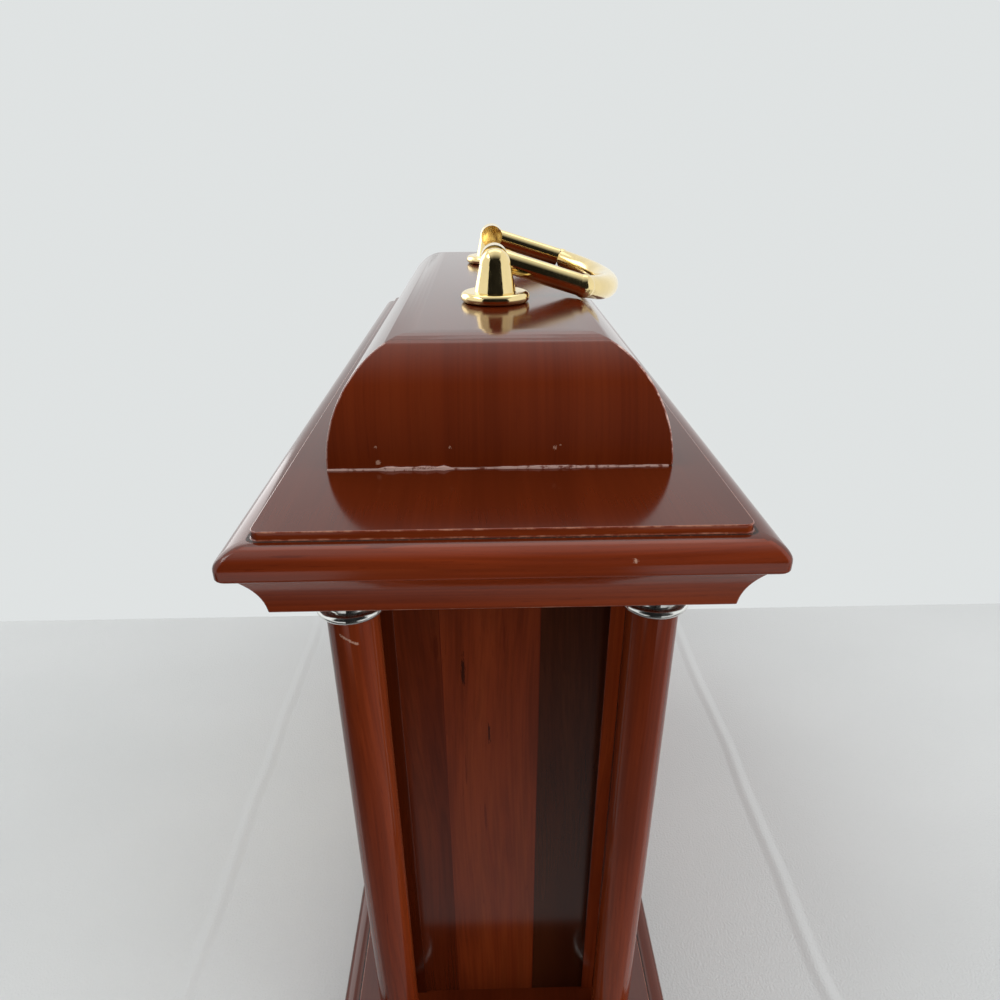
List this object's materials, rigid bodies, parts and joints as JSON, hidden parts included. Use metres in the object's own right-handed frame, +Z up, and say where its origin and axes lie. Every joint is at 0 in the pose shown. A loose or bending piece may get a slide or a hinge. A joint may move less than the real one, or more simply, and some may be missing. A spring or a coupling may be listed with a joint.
{
  "type": "mantel clock",
  "caption": "Bell-topped wooden mantel clock with corner columns, a folding carrying handle, a hinged round bezel and a battery movement behind a hinged back door.",
  "frame": {"origin": "on the table, under the middle of the case", "axes": "+X along the case to the right as the dial faces the viewer, +Y to the back, +Z up"},
  "size_m": [0.368, 0.152, 0.3516],
  "materials": {
    "case_wood": "glossy cherry-red lacquer over grain",
    "gilt_brass": "polished and lacquered",
    "nickel": "polished plate",
    "steel": "zinc plated",
    "dial_white": "satin enamel",
    "glass": "clear polished",
    "hand_black": "satin black",
    "movement_plastic": "fine moulded texture",
    "wheel_plastic": "natural moulded resin",
    "copper_wire": "enamelled wire",
    "battery_jacket": "plain wrapped jacket",
    "foot_rubber": "matte"
  },
  "bodies": {
    "case": {"plinth_front": "case_wood", "plinth_back": "case_wood", "plinth_ends": "case_wood", "base_board": "case_wood", "column_front_left": "case_wood", "column_front_right": "case_wood", "column_back_left": "case_wood", "column_back_right": "case_wood", "end_panel_left": "case_wood", "end_panel_right": "case_wood", "front_panel": "case_wood", "back_stiles": "case_wood", "back_rails": "case_wood", "cornice_front": "case_wood", "cornice_back": "case_wood", "cornice_ends": "case_wood", "top_board": "case_wood", "bell_top": "case_wood", "handle_post_left": "gilt_brass", "handle_post_right": "gilt_brass", "bezel_hinge_bracket": "gilt_brass", "bezel_hinge_pin": "gilt_brass", "rear_hinge_frame_leaves": "gilt_brass", "rear_hinge_pins": "gilt_brass", "sight_ring": "gilt_brass", "stem_nut": "gilt_brass", "dial_plate": "gilt_brass", "column_base_rings": "nickel", "column_capitals": "nickel", "base_screws": "steel", "handle_screws": "steel", "dial_screws": "steel", "stator": "steel", "battery_contacts": "steel", "chapter_ring": "dial_white", "movement_front_case": "movement_plastic", "movement_rear_case": "movement_plastic", "coil": "copper_wire", "foot_pads": "foot_rubber"},
    "bail": {"bail_handle": "gilt_brass", "bail_pins": "gilt_brass"},
    "bezel_door": {"bezel_ring": "gilt_brass", "bezel_glass": "glass", "glass_retainer": "steel"},
    "back_door": {"rear_door": "case_wood", "rear_door_knob": "gilt_brass", "rear_hinge_door_leaves": "gilt_brass"},
    "minute_work": {"minute_arbor": "wheel_plastic", "minute_hand": "hand_black"},
    "hour_work": {"hour_wheel": "wheel_plastic", "hour_hand": "hand_black"},
    "setting_work": {"minute_wheel": "wheel_plastic", "setting_knob": "movement_plastic"},
    "seconds_work": {"second_wheel": "wheel_plastic", "second_hand": "hand_black"},
    "third_work": {"third_wheel": "wheel_plastic"},
    "centre_work": {"centre_wheel": "wheel_plastic"},
    "fifth_work": {"fifth_wheel": "wheel_plastic"},
    "rotor_work": {"rotor": "wheel_plastic"},
    "battery_cell": {"battery": "battery_jacket"}
  },
  "joints": [
    {"name": "bail_swing", "type": "hinge", "parent": "case", "child": "bail", "pos_m": [0, 0, 0.3462], "axis": [1, 0, 0], "range_deg": [0, 214.2]},
    {"name": "bezel_swing", "type": "hinge", "parent": "case", "child": "bezel_door", "pos_m": [-0.097, -0.0592, 0.15025], "axis": [0, 0, -1], "range_deg": [0, 120]},
    {"name": "back_door_swing", "type": "hinge", "parent": "case", "child": "back_door", "pos_m": [0.075, 0.0575, 0.15025], "axis": [0, 0, -1], "range_deg": [0, 105]},
    {"name": "minute_turn", "type": "hinge", "parent": "case", "child": "minute_work", "pos_m": [0, -0.034, 0.15025], "axis": [0, 1, 0], "continuous": true},
    {"name": "hour_turn", "type": "hinge", "parent": "case", "child": "hour_work", "pos_m": [0, -0.034, 0.15025], "axis": [0, 1, 0], "continuous": true},
    {"name": "setting_turn", "type": "hinge", "parent": "case", "child": "setting_work", "pos_m": [-0.01039, -0.034, 0.14425], "axis": [0, 1, 0], "continuous": true},
    {"name": "second_turn", "type": "hinge", "parent": "case", "child": "seconds_work", "pos_m": [0, -0.034, 0.15025], "axis": [0, 1, 0], "continuous": true},
    {"name": "third_turn", "type": "hinge", "parent": "case", "child": "third_work", "pos_m": [0.00595, -0.034, 0.16056], "axis": [0, 1, 0], "continuous": true},
    {"name": "centre_turn", "type": "hinge", "parent": "case", "child": "centre_work", "pos_m": [0, -0.034, 0.15025], "axis": [0, 1, 0], "continuous": true},
    {"name": "fifth_turn", "type": "hinge", "parent": "case", "child": "fifth_work", "pos_m": [-0.0106, -0.034, 0.15637], "axis": [0, 1, 0], "continuous": true},
    {"name": "rotor_turn", "type": "hinge", "parent": "case", "child": "rotor_work", "pos_m": [-0.01787, -0.034, 0.16057], "axis": [0, 1, 0], "continuous": true},
    {"name": "battery_slide", "type": "slide", "parent": "case", "child": "battery_cell", "axis": [0, 1, 0], "range_m": [0, 0.018]}
  ],
  "couplings": [
    {"joint": "hour_turn", "follows": "minute_turn", "ratio": 0.083333},
    {"joint": "setting_turn", "follows": "minute_turn", "ratio": -0.33333},
    {"joint": "third_turn", "follows": "second_turn", "ratio": -0.13333},
    {"joint": "centre_turn", "follows": "second_turn", "ratio": 0.016667},
    {"joint": "fifth_turn", "follows": "second_turn", "ratio": -5},
    {"joint": "rotor_turn", "follows": "second_turn", "ratio": 30}
  ]
}
